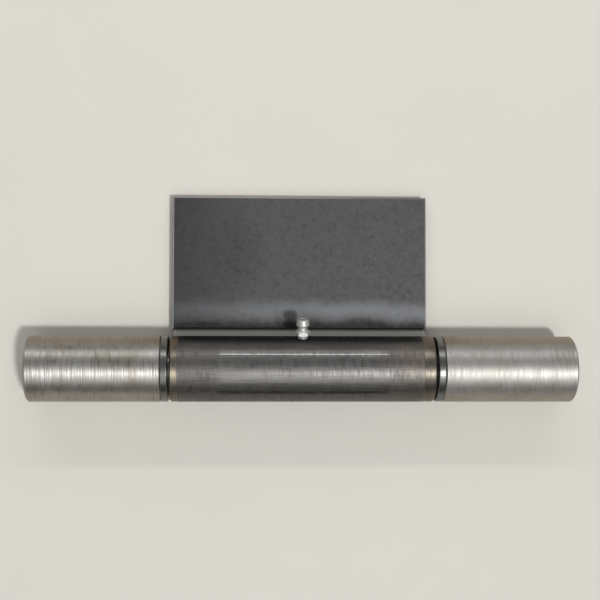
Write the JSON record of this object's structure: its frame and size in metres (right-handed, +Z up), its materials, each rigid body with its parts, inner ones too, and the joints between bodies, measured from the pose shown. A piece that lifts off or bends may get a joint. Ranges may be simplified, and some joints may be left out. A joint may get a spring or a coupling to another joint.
{
  "type": "weld on barrel hinge",
  "caption": "Greasable barrel hinge to weld on: a flat wing plate on the centre barrel swings about a pin fixed in the outer barrels.",
  "frame": {"origin": "on the hinge line, at the hinge's mid-length", "axes": "+X along the hinge line, +Y from the hinge line to the wing plate's far edge, +Z up from the plate's top face, on the side of the grease nipple"},
  "size_m": [0.2624, 0.1005, 0.0318],
  "materials": {
    "turned_steel": "turned bare steel",
    "pin_steel": "ground bare steel, greased",
    "polished_steel": "ground and polished",
    "scaled_tube": "dark mill scale, turned bright at both ends",
    "scaled_plate": "hot-rolled mill scale",
    "weld_metal": "smooth weld bead, lightly oxidised",
    "zinc_plate": "bright zinc plate",
    "spring_steel": "spring wire"
  },
  "bodies": {
    "fixed_barrels": {"left_barrel": "turned_steel", "right_barrel": "turned_steel", "hinge_pin": "pin_steel"},
    "wing": {"centre_barrel": "scaled_tube", "wing_plate": "scaled_plate", "upper_weld": "weld_metal", "lower_weld": "weld_metal", "nipple_body": "zinc_plate", "nipple_spring": "spring_steel"},
    "left_washer": {"left_thrust_washer": "polished_steel"},
    "right_washer": {"right_thrust_washer": "polished_steel"},
    "check_ball": {"nipple_ball": "polished_steel"}
  },
  "joints": [
    {"name": "wing_swing", "type": "hinge", "parent": "fixed_barrels", "child": "wing", "pos_m": [0, 0, 0], "axis": [1, 0, 0], "continuous": true},
    {"name": "left_washer_spin", "type": "hinge", "parent": "fixed_barrels", "child": "left_washer", "pos_m": [0, 0, 0], "axis": [1, 0, 0], "continuous": true},
    {"name": "right_washer_spin", "type": "hinge", "parent": "fixed_barrels", "child": "right_washer", "pos_m": [0, 0, 0], "axis": [1, 0, 0], "continuous": true},
    {"name": "check_ball_lift", "type": "slide", "parent": "wing", "child": "check_ball", "axis": [0, -0.9563, -0.2924], "range_m": [0, 0.0008], "stiffness_N_per_m": 300, "springref_m": -0.002, "deforming": ["nipple_spring"]}
  ]
}
